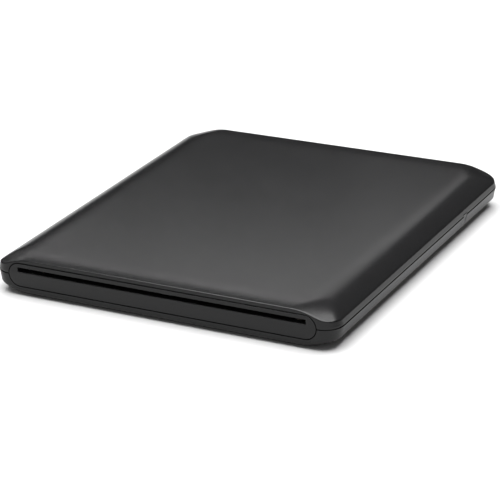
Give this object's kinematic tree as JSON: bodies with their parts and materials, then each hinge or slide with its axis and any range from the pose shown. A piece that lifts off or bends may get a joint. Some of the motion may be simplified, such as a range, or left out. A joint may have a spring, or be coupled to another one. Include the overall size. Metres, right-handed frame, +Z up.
{
  "type": "external optical drive",
  "caption": "Slim slot-loading external disc drive: pillow-shaped two-part case, flush front bezel with a slot, and a roller loading and pickup mechanism inside.",
  "frame": {"origin": "on the desk, under the middle of the case's footprint", "axes": "+X to the right seen from the front, +Y from the slot to the back, +Z up"},
  "size_m": [0.148, 0.162, 0.016],
  "materials": {
    "bezel_black": "smooth matte",
    "brass": "machined",
    "can_alu": "brushed",
    "case_black": "fine matte texture",
    "chip_black": "moulded resin",
    "connector_ivory": "moulded",
    "deck_steel": "phosphated",
    "felt": "felt",
    "ferrite": "sintered",
    "foot_rubber": "matte",
    "gear_resin": "acetal",
    "guide_black": "low-friction strip",
    "holder_black": "moulded",
    "lens_glass": "polished",
    "magnet": "bonded magnet",
    "motor_steel": "drawn can",
    "pcb_green": "solder mask",
    "plug_black": "moulded",
    "plug_metal": "tin plated",
    "roller_rubber": "matte",
    "rotor_steel": "turned",
    "screw_black": "black oxide",
    "screw_steel": "nickel plated",
    "shaft_steel": "ground",
    "sheet_steel": "zinc plated sheet",
    "sled_zinc": "die cast",
    "stator_copper": "enamelled wire"
  },
  "bodies": {
    "base": {"top_cover": "case_black", "bottom_cover": "case_black", "front_bezel": "bezel_black", "dust_felts": "felt", "rubber_feet": "foot_rubber", "case_screws": "screw_black", "bridge_board": "pcb_green", "bridge_controller": "chip_black", "bridge_capacitors": "can_alu", "bridge_inductor": "ferrite", "usb_port": "plug_metal", "dc_jack": "plug_black", "bridge_socket": "plug_black", "bridge_screws": "screw_steel", "mech_tray": "sheet_steel", "mech_lid": "sheet_steel", "lid_screws": "screw_steel", "tray_screws": "screw_steel", "damper_pads": "foot_rubber", "disc_guide": "guide_black", "main_board": "pcb_green", "main_controller": "chip_black", "motor_driver": "chip_black", "flex_connector": "connector_ivory", "drive_plug": "plug_black", "main_board_screws": "screw_steel", "gear_plate": "sheet_steel", "gear_pins": "shaft_steel", "roller_bracket": "sheet_steel", "roller_bushes": "gear_resin", "loading_motor": "motor_steel", "slide_posts": "shaft_steel", "arm_post": "shaft_steel", "hinge_bracket": "sheet_steel", "hinge_pin": "shaft_steel"},
    "roller": {"roller_shaft": "shaft_steel", "feed_rollers": "roller_rubber", "roller_gear": "gear_resin"},
    "gear_2": {"load_gear_2": "gear_resin"},
    "gear_1": {"load_gear_1": "gear_resin"},
    "motor_rotor": {"motor_pinion": "brass", "motor_shaft": "shaft_steel"},
    "slider": {"lift_slider": "gear_resin"},
    "arm": {"stop_arm": "gear_resin", "stop_roller": "roller_rubber"},
    "traverse": {"traverse_deck": "deck_steel", "lift_pin": "shaft_steel", "guide_rods": "shaft_steel", "spindle_base": "sheet_steel", "spindle_screws": "screw_steel", "spindle_stator": "stator_copper", "sled_motor": "motor_steel"},
    "spindle": {"spindle_rotor": "rotor_steel", "rotor_magnet": "magnet", "turntable_pad": "foot_rubber"},
    "screw": {"lead_screw": "shaft_steel"},
    "sled": {"pickup_sled": "sled_zinc", "focus_magnets": "magnet"},
    "lens": {"lens_holder": "holder_black", "objective_lens": "lens_glass"}
  },
  "joints": [
    {"name": "roller_spin", "type": "hinge", "parent": "base", "child": "roller", "pos_m": [0, -0.0735, 0.0082], "axis": [1, 0, 0], "continuous": true},
    {"name": "gear_2_spin", "type": "hinge", "parent": "base", "child": "gear_2", "pos_m": [0, -0.07051, 0.0071], "axis": [1, 0, 0], "continuous": true},
    {"name": "gear_1_spin", "type": "hinge", "parent": "base", "child": "gear_1", "pos_m": [0, -0.06642, 0.0071], "axis": [1, 0, 0], "continuous": true},
    {"name": "motor_spin", "type": "hinge", "parent": "base", "child": "motor_rotor", "pos_m": [0, -0.06233, 0.0071], "axis": [1, 0, 0], "continuous": true},
    {"name": "stop_arm_swing", "type": "hinge", "parent": "base", "child": "arm", "pos_m": [0.04, 0.042, 0.0095], "axis": [0, 0, 1], "range_deg": [0, 40]},
    {"name": "traverse_swing", "type": "hinge", "parent": "base", "child": "traverse", "pos_m": [-0.04914, 0.03814, 0.0083], "axis": [-0.7071, -0.7071, 0], "range_deg": [0, 1.81]},
    {"name": "slider_slide", "type": "slide", "parent": "base", "child": "slider", "axis": [0, -1, 0], "range_m": [0, 0.011]},
    {"name": "spindle_spin", "type": "hinge", "parent": "traverse", "child": "spindle", "pos_m": [-0.00002, -0.01098, 0.0061], "axis": [0.0224, -0.0224, 0.9995], "continuous": true},
    {"name": "sled_slide", "type": "slide", "parent": "traverse", "child": "sled", "axis": [-0.7068, 0.7068, 0.0317], "range_m": [0, 0.034]},
    {"name": "screw_spin", "type": "hinge", "parent": "traverse", "child": "screw", "pos_m": [-0.01381, 0.0318, 0.00697], "axis": [-0.7068, 0.7068, 0.0317], "range_deg": [0, 4080.1]},
    {"name": "lens_focus", "type": "slide", "parent": "sled", "child": "lens", "axis": [0.0224, -0.0224, 0.9995], "range_m": [-0.0004, 0.0004]}
  ],
  "couplings": [
    {"joint": "gear_2_spin", "follows": "roller_spin", "ratio": -1.3333},
    {"joint": "gear_1_spin", "follows": "roller_spin", "ratio": 2.6667},
    {"joint": "motor_spin", "follows": "roller_spin", "ratio": -5.3333},
    {"joint": "slider_slide", "follows": "traverse_swing", "m_per_rad": 0.3474},
    {"joint": "screw_spin", "follows": "sled_slide", "rad_per_m": 2094.4}
  ]
}
